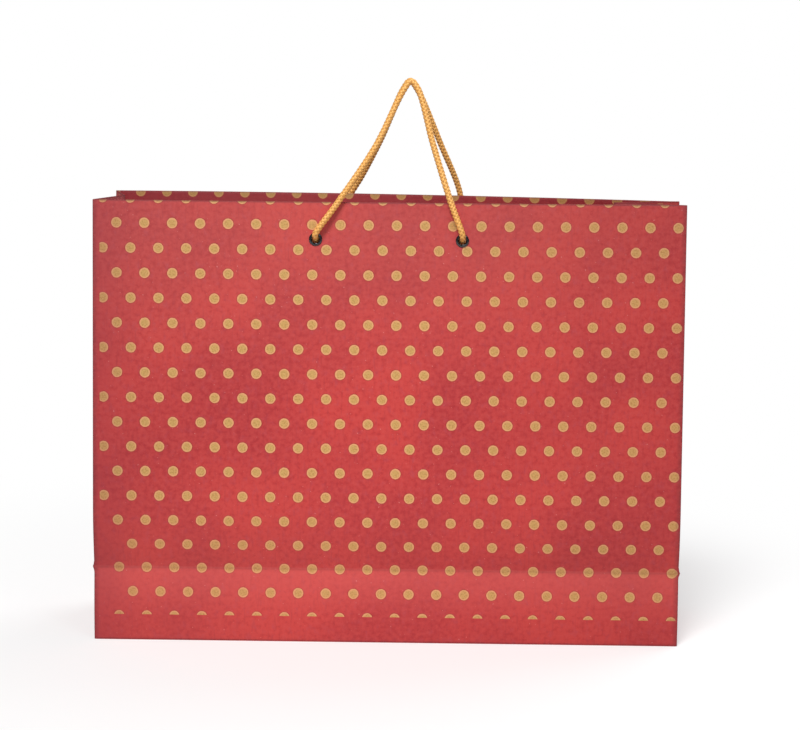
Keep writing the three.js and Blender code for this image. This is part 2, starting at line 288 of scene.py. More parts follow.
def new_object(name, vertices, faces, materials, material_index=None, attributes=()):
    """A smooth mesh from points in millimetres; attributes maps names to one vector per point."""
    mesh = bpy.data.meshes.new(name)
    mesh.from_pydata((np.asarray(vertices) * MM).tolist(), [], [list(map(int, face)) for face in faces])
    for material in materials:
        mesh.materials.append(material)
    if material_index is not None:
        mesh.polygons.foreach_set("material_index", np.asarray(material_index, np.int32))
    for key, vectors in dict(attributes).items():
        add_attribute(mesh, key, vectors)
    mesh.polygons.foreach_set("use_smooth", np.ones(len(mesh.polygons), bool))
    mesh.set_sharp_from_angle(angle=math.radians(50))
    mesh.validate()
    return linked_object(name, mesh)


def turn_outward(mesh, face, inside):
    """Flip all faces if the numbered one looks toward a point, in millimetres, inside the mesh."""
    polygon = mesh.polygons[face]
    if (polygon.center - Vector(inside * MM)).dot(polygon.normal) < 0:
        mesh.flip_normals()


def stand_in(piece, slot, *nodes):
    """Show a piece in place of its CAD nodes."""
    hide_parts(*nodes)


def grid_faces(rows, columns):
    index = np.arange(rows * columns).reshape(rows, columns)
    ring = [index[:-1, :-1], index[:-1, 1:], index[1:, 1:], index[1:, :-1]]
    return np.stack(ring, -1).reshape(-1, 4)


def border_faces(faces, offset):
    """Quads that join the open edges of one layer to the same edges of the layer offset points on."""
    edges = np.concatenate([np.stack([faces[:, i], faces[:, (i + 1) % faces.shape[1]]], -1)
                            for i in range(faces.shape[1])])
    big = int(faces.max()) + 1
    forward = edges[:, 0] * big + edges[:, 1]
    backward = edges[:, 1] * big + edges[:, 0]
    a, b = edges[~np.isin(forward, backward)].T
    return np.stack([b, a, a + offset, b + offset], -1)


def paper_object(name, printed, plain, faces, paper, materials):
    """A closed sheet between its printed and plain layers, given as matching arrays of points."""
    printed, plain, paper = [layer.reshape(-1, 3) for layer in (printed, plain, paper)]
    count = len(printed)
    inward = (plain - printed)[faces[:, 0]]
    first = printed[faces[:, 1]] - printed[faces[:, 0]]
    second = printed[faces[:, 2]] - printed[faces[:, 1]]
    if np.median((np.cross(first, second) * inward).sum(-1)) > 0:
        faces = faces[:, ::-1]
    sides = border_faces(faces, count)
    used = np.zeros(2 * count, bool)
    used[faces.ravel()] = True
    used[faces.ravel() + count] = True
    renumber = np.cumsum(used) - 1
    everything = [renumber[face] for face in [*faces, *(faces[:, ::-1] + count), *sides]]
    material_index = np.concatenate([np.zeros(len(faces)), np.ones(len(faces) + len(sides))])
    points = kinked(np.concatenate([printed, plain]))[used]
    coordinates = np.concatenate([paper, paper])[used]
    return new_object(name, points, everything, materials, material_index, {"paper": coordinates})


# ---- The sheets


def eyelet_lines(values, centres):
    """Grid lines moved so that they fit the square that becomes each eyelet's hole."""
    lines = np.array(values, float)
    for centre in centres:
        lines = lines[np.abs(lines - centre) > HOLE_RADIUS * 1.45]
        lines = np.concatenate([lines, centre + HOLE_RADIUS * np.array([-1, -0.5, 0, 0.5, 1])])
    return np.sort(lines)


# Heights of the grid rows, from just above the base fold to just under the rim fold
SKIRT_ROWS = np.arange(FOOT_CELL, CREASE - 1, FOOT_CELL)
CREASE_ROWS = [CREASE - 0.5, CREASE, CREASE + 0.5]
UPPER_ROWS = eyelet_lines(np.linspace(CREASE + 1.5, HEIGHT - 2, round((HEIGHT - CREASE) / GRID)),
                          [FRONT.eyelets[0][1]])
BASE_ARC = np.radians([0, 22, 45, 68, 90])
RIM_ARC = np.radians(np.linspace(0, 180, 9))


def profile(total_depth, with_skirt):
    """Height and depth of a sheet's printed and plain layers, row by row, for columns of total_depth.

    The rows climb the outside, turn over the rim and run down the inside as a hem.
    """
    columns = np.ones_like(total_depth)
    printed, plain = [], []

    def add(height, depth, plain_height, plain_depth):
        printed.append((height * columns, depth * columns))
        plain.append((plain_height * columns, plain_depth * columns))

    upright = [*CREASE_ROWS[1:], *UPPER_ROWS]
    if with_skirt:
        upright = [*SKIRT_ROWS, *CREASE_ROWS, *UPPER_ROWS]
        inner = BASE_FOLD_RADIUS - PAPER
        for turn in BASE_ARC:
            cos, sin = math.cos(turn), math.sin(turn)
            add(BASE_FOLD_RADIUS * (1 - cos), BASE_FOLD_RADIUS * (1 - sin),
                BASE_FOLD_RADIUS - inner * cos, BASE_FOLD_RADIUS - inner * sin)
    for height in upright:
        add(height, 0, height, PAPER)
    radius = total_depth / 2
    for turn in RIM_ARC:
        cos, sin = math.cos(turn), math.sin(turn)
        add(HEIGHT - radius * (1 - sin), radius * (1 - cos),
            HEIGHT - radius + (radius - PAPER) * sin, radius - (radius - PAPER) * cos)
    inside = UPPER_ROWS[UPPER_ROWS > HEM_FOOT + 1][::-1]
    for height in [*inside, HEM_FOOT]:
        add(height, total_depth, height, total_depth - PAPER)
    return np.array([printed, plain])


def rows_v(heights, depths):
    """Distance down from the rim along the middle of a sheet, row by row."""
    reach = np.asarray(FRONT.reach(0.0, np.minimum(heights, HEIGHT)))
    steps = np.hypot(np.diff(heights), np.diff(reach) - np.diff(depths))
    travelled = np.concatenate([[0], np.cumsum(steps)])
    return travelled[np.argmax(heights)] - travelled


def holed(x, z, eyelets):
    """Grid points moved so that a square of grid cells becomes each eyelet's round hole."""
    x, z = x.copy(), z.copy()
    for centre_x, centre_z in eyelets:
        dx, dz = x - centre_x, z - centre_z
        square = np.maximum(np.abs(dx), np.abs(dz))
        circle = np.maximum(np.hypot(dx, dz), 1e-6)
        share = 1 - smooth((square - HOLE_RADIUS) / (HOLE_SPREAD - HOLE_RADIUS))
        scale = lerp(1, square / circle, share)
        x, z = centre_x + dx * scale, centre_z + dz * scale
    return x, z


def solid_cells(x, z, eyelets):
    """False for the grid cells inside an eyelet's hole."""
    keep = np.ones((x.shape[0] - 1, x.shape[1] - 1), bool)
    for centre_x, centre_z in eyelets:
        inside = np.maximum(np.abs(x - centre_x), np.abs(z - centre_z)) < HOLE_RADIUS + 1e-4
        keep &= ~(inside[:-1, :-1] & inside[1:, :-1] & inside[:-1, 1:] & inside[1:, 1:])
    return keep


def corner_fade(x):
    return smooth((HALF - np.abs(x)) / FADE_LENGTH)


def edge_fade(x, z):
    """1 over the open paper of a wall, falling to 0 at its corners, crease and stiff rim."""
    rim = smooth((HEIGHT - STIFF_RIM - z) / 40)
    return corner_fade(x) * smooth((z - CREASE) / FADE_LENGTH) * rim


def skirt_fade(x, z):
    return corner_fade(x) * smooth(z / 14) * smooth((CREASE - z) / 14)


def crease_ridge(z):
    """The paper stands out along the crease, where it was folded flat."""
    return -0.22 * near_line(z - CREASE, 0.7)


def wall_layer(wall, x, z, depth, u, v):
    points, normals = wall.skin(x, z)
    relief = paper_relief(u, v) * (edge_fade(x, z) + 0.6 * skirt_fade(x, z)) + crease_ridge(z)
    return points + normals * (depth + relief)[..., None]


def corner_layer(wall, side, turn, z, depth):
    """Round a corner: turn 0 to 1 is the fold's fillet, and above 1 the margin on the folded side."""
    corner, wall_normal = wall.skin(side * HALF, z)
    toward = wall.skin(side * (HALF - 1), z)[0] - corner
    near = wall.facing * (1 - CORNER_FILLET / HALF_GUSSET)
    far = wall.facing * (1 - CORNER_MARGIN / HALF_GUSSET)
    side_point = gusset_point(side, near, z)
    margin_point, side_normal = gusset_skin(side, far, z)
    if turn > 1:
        return margin_point + side_normal * depth[..., None], side_normal
    shift = mitre(wall_normal, side_normal) * depth[..., None]
    start = corner + shift + unit(toward) * CORNER_FILLET
    points = rounded(start, corner + shift, side_point + shift, turn)
    return points, unit(lerp(wall_normal, side_normal, turn))


def corner_strip(wall, side, z, depth):
    """One corner's columns from left to right, as points and their paper u."""
    strip = [corner_layer(wall, side, turn, z, depth) for turn in CORNER_TURNS]
    points, normals = [np.stack(each, 1) for each in zip(*strip)]
    points = points + normals * crease_ridge(z)[:, None, None] * (CORNER_TURNS < 1)[None, :, None]
    along = HALF - CORNER_FILLET + 2 * CORNER_FILLET * CORNER_TURNS
    along[-1] = HALF + CORNER_MARGIN
    u = np.tile(wall.paper_u(side * along), (len(z), 1))
    return points[:, ::side], u[:, ::side]


def wall_grid(wall, flat_x, rows, v_rows):
    """One layer of a broad side from corner to corner, as points and their paper u and v."""
    z, depth = rows[:, 0], rows[:, 1]
    x, warped_z = holed(np.tile(flat_x, (len(z), 1)), z[:, BETWEEN_CORNERS], wall.eyelets)
    u = wall.paper_u(x)
    v = v_rows[:, None] + (z[:, BETWEEN_CORNERS] - warped_z)
    points = wall_layer(wall, x, warped_z, depth[:, BETWEEN_CORNERS], u, v)
    left, left_u = corner_strip(wall, -1, z[:, 0], depth[:, 0])
    right, right_u = corner_strip(wall, 1, z[:, 0], depth[:, 0])
    corner_v = np.tile(v_rows[:, None], CORNER_COLUMNS)
    return [np.concatenate(parts, 1) for parts in ((left, points, right), (left_u, u, right_u),
                                                   (corner_v, v, corner_v))]


def wall_sheet(wall, materials):
    """Skirt, wall, rim fold and hem of one broad side, as one sheet with its corners turned."""
    end = HALF - 4
    flat_x = eyelet_lines(np.linspace(-end, end, round(2 * end / GRID) + 1), [x for x, _ in wall.eyelets])
    deepening = np.pad(smooth((HALF - np.abs(flat_x) - 4.5) / 3.5), CORNER_COLUMNS)
    depths = lerp(CORNER_HEM_DEPTH, WALL_HEM_DEPTH, deepening)
    printed_rows, plain_rows = profile(depths, with_skirt=True)
    v_rows = rows_v(*printed_rows[:, :, len(depths) // 2].T)
    printed, u, v = wall_grid(wall, flat_x, printed_rows, v_rows)
    plain = wall_grid(wall, flat_x, plain_rows, v_rows)[0]
    z = printed_rows[:, 0]
    keep = np.ones((len(z) - 1, len(depths) - 1), bool)
    flat_grid = np.tile(flat_x, (len(z), 1))
    keep[:, BETWEEN_CORNERS] = solid_cells(flat_grid, z[:, BETWEEN_CORNERS], wall.eyelets)
    faces = grid_faces(*z.shape)[keep.ravel()]
    # The third paper coordinate carries painted shade along the folds.
    paper = np.stack([u, v, painted_fold_shade(wall, u, v, z)], -1)
    piece = paper_object(wall.name + "_sheet", printed, plain, faces, paper, materials)
    stand_in(piece, "paper", f"{wall.name}_panel", f"{wall.name}_skirt", f"{wall.name}_hem")
    (CREASE - 0.8) * MM
    (CREASE + 1.5) * MM
    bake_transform(piece)


def painted_fold_shade(wall, u, v, z):
    """Painted shade, 0 to 1, close to the corner folds, the base fold, the crease and the rim."""
    left, right = wall.paper_u(-HALF), wall.paper_u(HALF)
    corner = near_line(np.minimum(np.abs(u - left), np.abs(u - right)), 0.9)
    foot = np.where(v > 0, near_line(z, 0.9), 0)
    crease = 0.3 * np.where(v > 0, near_line(z - CREASE, 0.8), 0)
    return np.maximum.reduce([corner, foot, crease, 0.8 * near_line(v, 1.0)])


def gusset_layer(side, half, z, depth):
    """One half of a folded side, from its corner margin to the fold line, as (points, normals)."""
    corner, fold, opposite = [gusset_point(side, along, z) for along in (half, 0, -half)]
    own, other = [gusset_skin(side, along, z)[1] for along in (0.6 * half, -0.6 * half)]
    toward, away = unit(fold - corner), unit(opposite - fold)
    length = np.linalg.norm(fold - corner, axis=-1, keepdims=True)
    tip = fold + mitre(own, other) * depth[..., None]
    arc_start, arc_end = tip - toward * CORNER_FILLET, tip + away * CORNER_FILLET
    begin = corner + toward * CORNER_MARGIN * length / HALF_GUSSET + own * depth[..., None]
    points = [lerp(begin, arc_start, share) for share in FLAT_SHARES]
    points += [rounded(arc_start, tip, arc_end, turn) for turn in FOLD_TURNS]
    normals = [own for _ in FLAT_SHARES] + [unit(lerp(own, other, turn)) for turn in FOLD_TURNS]
    return np.stack(points, 1), np.stack(normals, 1)


def gusset_u(side, half, distance):
    """Paper coordinate at a distance from the corner of one half of a folded side."""
    corners = {(1, -1): WIDTH, (1, 1): WIDTH + 2 * HALF_GUSSET,
               (-1, 1): 2 * WIDTH + 2 * HALF_GUSSET, (-1, -1): GIRTH}
    return corners[side, half] - side * half * distance


def gusset_sheet(side, half, materials):
    """Half of a folded side with its turned-in hem, from the crease up."""
    wall = FRONT if half < 0 else BACK
    distance = np.concatenate([lerp(CORNER_MARGIN, HALF_GUSSET - CORNER_FILLET, FLAT_SHARES),
                               HALF_GUSSET - CORNER_FILLET * (1 - 2 * FOLD_TURNS)])
    printed_rows, plain_rows = profile(np.full(1, CORNER_HEM_DEPTH), with_skirt=False)[..., 0]
    v_rows = rows_v(*printed_rows.T)
    u = np.tile(gusset_u(side, half, distance), (len(v_rows), 1))
    v = np.tile(v_rows[:, None], len(distance))
    span = smooth((distance - CORNER_MARGIN) / 14) * smooth((HALF_GUSSET - 1 - distance) / 14)

    def layer(rows):
        z, depth = rows.T
        points, normals = gusset_layer(side, half, z, depth)
        rise = smooth((z - CREASE) / FADE_LENGTH) * smooth((HEIGHT - STIFF_RIM - z) / 30)
        relief = 0.8 * paper_relief(u, v) * rise[:, None] * span
        return points + normals * relief[..., None]

    # Painted shade along the fold line and the rim.
    fold_shade = near_line(distance - HALF_GUSSET, 0.8) + 0.5 * near_line(v, 1.0)
    paper = np.stack([u, v, np.clip(fold_shade, 0, 1)], -1)
    node = f"{SIDE_NAMES[side]}_gusset_{HALF_NAMES[half]}"
    piece = paper_object(node + "_sheet", layer(printed_rows), layer(plain_rows), grid_faces(*v.shape),
                         paper, materials)
    stand_in(piece, "paper", node, node + "_hem")
    start, end = gusset_blend(side, wall)
    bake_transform(piece)


def gusset_blend(side, wall):
    """Where half a folded side stops following the base, and where it fully follows its wall."""
    low = np.array([wall.facing * wall.reach(side * HALF, CREASE), CREASE])
    high = np.array([wall.facing * wall.reach(side * HALF, HEIGHT), HEIGHT])
    rise = unit(high - low)
    inward = np.array([-wall.facing * rise[1], wall.facing * rise[0]])
    fold = gusset_point(side, 0.0, np.float64(HEIGHT))[1:]
    room = min(float((fold - high) @ inward) - 1.5, 34)
    end = high + inward * 2.5
    start = high + inward * room
    return (0, start[0] * MM, start[1] * MM), (0, end[0] * MM, end[1] * MM)


def gusset_foot(side, materials):
    """The folded side's foot: two upright triangles and the middle one that leans in over the base."""
    cells = round(CREASE / FOOT_CELL)
    distance = np.arange(1, 2 * cells) * HALF_GUSSET / cells
    along = distance / HALF_GUSSET - 1
    printed_rows, plain_rows = profile(np.ones(1), with_skirt=True)[..., 0]
    count = len(BASE_ARC) + len(SKIRT_ROWS) + 2
    z = printed_rows[:count, :1]

    def layer(rows):
        points, normals = gusset_skin(side, along, rows[:count, :1])
        return points + normals * rows[:count, 1, None, None]

    u = np.where(along < 0, gusset_u(side, -1, distance), gusset_u(side, 1, 2 * HALF_GUSSET - distance))
    v = rows_v(*printed_rows.T)[:count]
    from_crease = np.abs(1 - np.abs(along) - z / CREASE) * HALF_GUSSET
    # Painted shade along the diagonal creases and the base fold.
    fold_shade = np.maximum(0.6 * near_line(from_crease, 1.0), near_line(z, 0.9))
    paper = np.stack([np.tile(u, (count, 1)), np.tile(v[:, None], len(along)), fold_shade], -1)
    quads = grid_faces(count, len(along))
    left = (np.arange(len(quads)) % (len(along) - 1)) < cells - 1
    faces = np.concatenate([quads[left][:, [0, 1, 2]], quads[left][:, [0, 2, 3]],
                            quads[~left][:, [0, 1, 3]], quads[~left][:, [1, 2, 3]]])
    node = SIDE_NAMES[side] + "_gusset_foot"
    piece = paper_object(node + "_sheet", layer(printed_rows), layer(plain_rows), faces, paper, materials)
    stand_in(piece, "paper", node)
    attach(piece, "base")


def wall_slab(wall, name, node, x_range, z_range, layer, material, columns, rows, slot):
    """A flat layer that lies against the inside of a wall."""
    eyelets = wall.eyelets if z_range[1] > HEM_FOOT else []
    x_lines = eyelet_lines(np.linspace(*x_range, columns), [x for x, _ in eyelets])
    z_lines = eyelet_lines(np.linspace(*z_range, rows), [z for _, z in eyelets[:1]])
    flat_z, flat_x = np.meshgrid(z_lines, x_lines, indexing="ij")
    x, z = holed(flat_x, flat_z, eyelets)
    u, v = wall.paper_u(x), HEIGHT - z
    outer, inner = [wall_layer(wall, x, z, np.full_like(x, depth), u, v) for depth in layer]
    faces = grid_faces(*x.shape)[solid_cells(flat_x, flat_z, eyelets).ravel()]
    paper = np.stack([u, v, 0 * u], -1)
    piece = paper_object(name, outer, inner, faces, paper, [material, material])
    stand_in(piece, slot, node)
    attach(piece, wall.name + "_wall")


def softened_copy(node, name, body, material, slot, bevel):
    """A copy of a flat card with softened edges and paper coordinates, in place of its CAD node."""
    piece = linked_object(name, frame["nodes"][node].data.copy())
    weld = piece.modifiers.new("weld", "WELD")
    weld.merge_threshold = 0.002 * MM
    round_edges = piece.modifiers.new("bevel", "BEVEL")
    round_edges.width = bevel * MM
    round_edges.segments = 2
    round_edges.angle_limit = math.radians(40)
    depsgraph = bpy.context.evaluated_depsgraph_get()
    mesh = bpy.data.meshes.new_from_object(piece.evaluated_get(depsgraph))
    mesh.name = name
    piece.modifiers.clear()
    piece.data = mesh
    while mesh.uv_layers:
        mesh.uv_layers.remove(mesh.uv_layers[0])
    x, y, _ = mesh_points(mesh).T
    add_attribute(mesh, "paper", np.stack([x + HALF, y + HEIGHT + BASE_REACH, 0 * x], -1))
    mesh.materials.clear()
    mesh.materials.append(material)
    for polygon in mesh.polygons:
        polygon.material_index = 0
    stand_in(piece, slot, node)
    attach(piece, body)


# ---- Eyelets


def lathe(name, outline, centre, inward, material, segments=72):
    """A closed ring turned about an eyelet's axis; the outline's points are (radius, distance inwards)."""
    side = unit(np.cross(inward, [0, 0, 1.0]))
    up = np.cross(side, inward)
    turns = np.linspace(0, math.tau, segments, endpoint=False)
    ring = np.cos(turns)[:, None] * side + np.sin(turns)[:, None] * up
    radius, depth = np.array(outline).T
    points = centre + ring[:, None, :] * radius[None, :, None] + inward * depth[None, :, None]
    count = len(outline)
    index = np.arange(segments * count).reshape(segments, count)
    after = np.roll(index, -1, 0)
    faces = np.stack([index, after, np.roll(after, -1, 1), np.roll(index, -1, 1)], -1).reshape(-1, 4)
    metal = np.stack([np.tile(turns[:, None], count) * radius, np.tile(depth, (segments, 1)),
                      np.tile(radius, (segments, 1))], -1)
    piece = new_object(name, points.reshape(-1, 3), faces, [material], attributes={"metal": metal})
    turn_outward(piece.data, 0, points[0].mean(0))
    return piece


def bent(points, steps=3):
    """A closed outline with its corners rounded by repeated corner cutting."""
    points = np.array(points, float)
    for _ in range(steps):
        after = np.roll(points, -1, 0)
        points = np.stack([0.75 * points + 0.25 * after, 0.25 * points + 0.75 * after], 1).reshape(-1, 2)
    return points


# Outlines of (radius, distance inwards from the wall's skin) round the section
ROLLED_EYELET = [(2.45, 2.0), (2.45, -0.2), (2.7, -0.78), (3.3, -0.98), (4.0, -0.86), (4.55, -0.42),
                 (4.55, -0.03), (4.25, -0.03), (3.6, -0.25), (2.85, -0.15), (2.78, 1.95), (3.0, 2.0),
                 (4.1, 2.0), (4.35, 2.3), (4.0, 2.68), (3.2, 2.75), (2.6, 2.55)]
FLAT_WASHER = [(2.95, 1.55), (5.0, 1.55), (5.0, 1.85), (2.95, 1.85)]


def eyelet_pieces(wall, number, metal):
    place = wall.name + "_" + ("left", "right")[number]
    centre, inward = wall.skin(*wall.eyelets[number])
    for shape, kind, outline in (("_rolled", "_eyelet", bent(ROLLED_EYELET)),
                                 ("_flat", "_washer", bent(FLAT_WASHER, 2))):
        piece = lathe(place + shape + kind, outline, centre, inward, metal)
        stand_in(piece, "eyelet", place + kind)
        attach(piece, wall.name + "_wall")


# ---- Cords

CORD_RADIUS = 2.2
KNOT_CORD_RADIUS = 1.75
STRANDS = 3
STRAND_HALF_WIDTH = 0.51
STRAND_DOME = 0.55
BRAID_PITCH = 2.7
CORD_SIDES = 40
CORD_STEP = 0.22
PIVOT_OUT = 3.45
SHOULDER_OUT = 4.8
SHOULDER_DOWN = 5.5
BORE_CORD_RADIUS = 1.7
KNOT_SIZE = 1.15
KNOT_DEPTH = 6.6
FRAYED_LENGTH = 5.5
TURN_OVER_LENGTH = 4.4


def between(t, start, end, a, b):
    """The point at t on the straight way from a at start to b at end."""
    return ((end - t) * a + (t - start) * b) / (end - start)


def centripetal(points, step):
    """Evenly spaced points of a centripetal Catmull-Rom curve, and their distances along it."""
    points = np.array(points, float)
    padded = np.concatenate([[2 * points[0] - points[1]], points, [2 * points[-1] - points[-2]]])
    dense = []
    for p0, p1, p2, p3 in zip(padded, padded[1:], padded[2:], padded[3:]):
        steps = np.linalg.norm([p1 - p0, p2 - p1, p3 - p2], axis=1)
        t0, t1, t2, t3 = np.cumsum([0, *steps ** 0.5])
        t = np.linspace(t1, t2, 60, endpoint=False)[:, None]
        a1, a2, a3 = between(t, t0, t1, p0, p1), between(t, t1, t2, p1, p2), between(t, t2, t3, p2, p3)
        b1, b2 = between(t, t0, t2, a1, a2), between(t, t1, t3, a2, a3)
        dense.append(between(t, t1, t2, b1, b2))
    dense = np.concatenate([*dense, points[-1:]])
    travelled = np.concatenate([[0], np.cumsum(np.linalg.norm(np.diff(dense, axis=0), axis=1))])
    places = np.linspace(0, travelled[-1], round(travelled[-1] / step) + 1)
    return np.stack([np.interp(places, travelled, dense[:, axis]) for axis in range(3)], -1), places


def carried_frames(path):
    """Two unit vectors across the path at each point, turning as little as possible along it."""
    tangents = unit(np.gradient(path, axis=0))
    first = unit(np.cross(tangents[0], [0.3, 0.2, 0.9]))
    across = [first]
    for tangent in tangents[1:]:
        across.append(unit(across[-1] - tangent * (across[-1] @ tangent)))
    across = np.array(across)
    return across, np.cross(tangents, across)


def leg_point(points, apex_x, side, height):
    """The centre of one of a cord's legs, close to a height."""
    near = np.abs(points[:, 2] - height) < 5
    return points[near & ((points[:, 0] - apex_x) * side > 0)].mean(0)


def apex_point(points):
    """A cord's centre at its highest place."""
    top = points[:, 2].max()
    centre = points[points[:, 2] > top - 2 * CORD_RADIUS].mean(0)
    centre[2] = top - CORD_RADIUS
    return centre


def knot_path(wall, number):
    """Centre line from the frayed tail through the stopper knot to the eyelet's mouth, and the pivot."""
    centre, inward = wall.skin(*wall.eyelets[number])
    right = np.array([1.0, 0, 0])
    right = unit(right - inward * (right @ inward)) * (-1, 1)[number]
    up = np.cross(right, inward)
    up = up * np.sign(up[2])

    def place(e_right, e_up, e_in):
        return centre + right * e_right + up * e_up + inward * e_in

    tail = [place(-2.3, -15.5, 3.9), place(-2.9, -12, 4.2), place(-3.2, -8, 4.3), place(-3.2, -4.2, 4.5)]
    knot = []
    for t in np.linspace(3 * math.pi - 0.75, math.pi + 0.6, 15):
        # An overhand knot is most of a trefoil
        e_right = KNOT_SIZE * (math.sin(t) + 2 * math.sin(2 * t)) - 1.3 * KNOT_SIZE
        e_up = -KNOT_SIZE * math.sin(3 * t)
        e_in = KNOT_DEPTH + KNOT_SIZE * (math.cos(t) - 2 * math.cos(2 * t))
        knot.append(place(e_right, e_up, e_in))
    mouth = [place(0, 0.2, 2.6), place(0, 0.5, 0.4), place(0, 0.9, -1.4)]
    return [*tail, *knot, *mouth], place(0, 3.4, -PIVOT_OUT)


def cord_path(wall):
    """A cord's centre line from tail to tail, over the middles of its CAD node."""
    points = mesh_points(frame["nodes"][wall.name + "_cord"].data)
    apex = apex_point(points)
    left, left_pivot = knot_path(wall, 0)
    right, right_pivot = knot_path(wall, 1)
    halfway = (HEIGHT + apex[2] - SHOULDER_DOWN) / 2

    def leg(side):
        rim = leg_point(points, apex[0], side, HEIGHT)
        shoulder = lerp(apex, rim, SHOULDER_DOWN / (apex[2] - HEIGHT))
        shoulder[0] = apex[0] + side * SHOULDER_OUT
        return [rim, leg_point(points, apex[0], side, halfway), shoulder]

    middle = [left_pivot, *leg(-1), apex, *leg(1)[::-1], right_pivot]
    return centripetal([*left, *middle, *right[::-1]], CORD_STEP)


def braid(turn, advance):
    """Height of a round braid, and where its top strand is cut: (height, across, strand)."""
    a, b = STRANDS * turn + advance, STRANDS * turn - advance
    near_a, near_b = np.round(a), np.round(b)

    def strand_height(across, over):
        dome = np.sqrt(np.maximum(0, 1 - (across / STRAND_HALF_WIDTH) ** 2))
        return STRAND_DOME * dome + (1 - STRAND_DOME) * over

    height_a = strand_height(a - near_a, np.cos(np.pi * (b + near_a)))
    height_b = strand_height(b - near_b, -np.cos(np.pi * (a + near_b)))
    top = height_a > height_b
    return np.where(top, height_a, height_b), np.where(top, a - near_a, b - near_b), np.where(top, 1, -1)


def cord_surface(wall, path, places):
    """Rings of points round a cord's path, and their strand coordinates."""
    across, over = carried_frames(path)
    length = places[-1]
    from_end = np.minimum(places, length - places)
    random = np.random.default_rng(21 if wall.facing < 0 else 22)

    def uneven(count, amount):
        return np.interp(places, np.linspace(0, length, count), random.normal(0, amount, count))

    turns = np.linspace(0, 1, CORD_SIDES, endpoint=False)
    grid_turn, grid_advance = np.meshgrid(turns, places / BRAID_PITCH + uneven(60, 0.10))
    height, strand_across, strand = braid(grid_turn, grid_advance)
    knotted = smooth((34 - from_end) / 6) * smooth((from_end - 11) / 4)
    radius = lerp(CORD_RADIUS, KNOT_CORD_RADIUS, knotted)
    for bore_x, bore_z in wall.eyelets:
        from_bore = np.linalg.norm(path - wall.skin(bore_x, bore_z)[0], axis=1)
        radius = lerp(radius, np.minimum(radius, BORE_CORD_RADIUS), smooth((4.5 - from_bore) / 3))
    fray = smooth((FRAYED_LENGTH - from_end) / FRAYED_LENGTH)
    radius = radius * (1 + 0.28 * fray) * (1 + uneven(90, 0.012))
    tufts = 1 + 0.10 * fray[:, None] * np.sin(grid_turn * math.tau * 13 + grid_advance * 0.8)
    rise = radius[:, None] * (1 - lerp(0.30, 0.42, fray)[:, None] * (0.92 - height)) * tufts
    angle = grid_turn[..., None] * math.tau
    ring = np.cos(angle) * across[:, None] + np.sin(angle) * over[:, None]
    points = path[:, None] + ring * rise[..., None]
    strands = np.stack([strand_across, np.tile(places[:, None], CORD_SIDES) + 40 * strand, height], -1)
    return points.reshape(-1, 3), strands.reshape(-1, 3)


def cord_piece(wall, material):
    """One cord with both its knots, its path turning over at its eyelets."""
    path, places = cord_path(wall)
    points, strands = cord_surface(wall, path, places)
    ends = [path[0] - 0.7 * unit(path[1] - path[0]), path[-1] + 0.7 * unit(path[-1] - path[-2])]
    index = np.arange(len(points)).reshape(-1, CORD_SIDES)
    after = np.roll(index, -1, 1)
    quads = np.stack([index[:-1], index[1:], after[1:], after[:-1]], -1).reshape(-1, 4)
    caps = [(a, b, len(points)) for a, b in zip(index[0], after[0])]
    caps += [(b, a, len(points) + 1) for a, b in zip(index[-1], after[-1])]
    piece = new_object(wall.name + "_braided_cord", np.concatenate([points, ends]), [*quads, *caps],
                       [material], attributes={"strand": np.concatenate([strands, np.zeros((2, 3))])})
    halfway = len(quads) // 2
    turn_outward(piece.data, halfway, path[halfway // CORD_SIDES])
    cord = wall.name + "_cord"
    stand_in(piece, "cord", cord, cord + "_left_end", cord + "_right_end")
    swing = joint(wall.name + "_handle_swing")
    hinge = np.array(swing["pos_m"]) / MM
    outward = unit(np.cross(swing["axis"], [0, 0, 1.0]))
    outward = outward * wall.facing * np.sign(outward[1])
    aim = unit(outward * 0.6 + np.array([0, 0, 0.8])) * TURN_OVER_LENGTH / 2
    tuple((hinge - aim) * MM)
    tuple((hinge + aim) * MM)
    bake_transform(piece)


# ---- Materials


def srgb(red, green, blue):
    """Scene colour of an 8-bit screen colour."""
    channels = [c / 255 for c in (red, green, blue)]
    return tuple(c / 12.92 if c <= 0.04045 else ((c + 0.055) / 1.055) ** 2.4 for c in channels) + (1,)


class Value:
    """One output of a material's node. Arithmetic and ramps add further nodes."""

    def __init__(self, graph, socket):
        self.graph, self.socket = graph, socket

    def math(self, operation, *others):
        return self.graph.math(operation, self, *others)

    def __add__(self, other):
        return self.math("ADD", other)

    def __sub__(self, other):
        return self.math("SUBTRACT", other)

    def __rsub__(self, other):
        return self.graph.math("SUBTRACT", other, self)

    def __mul__(self, other):
        return self.math("MULTIPLY", other)

    def ramp(self, low, high, start=0, end=1):
        """A smooth step, from start at low to end at high."""
        inputs = {"Value": self, "From Min": low, "From Max": high, "To Min": start, "To Max": end}
        return self.graph.node("ShaderNodeMapRange", "Result", inputs, interpolation_type="SMOOTHSTEP")


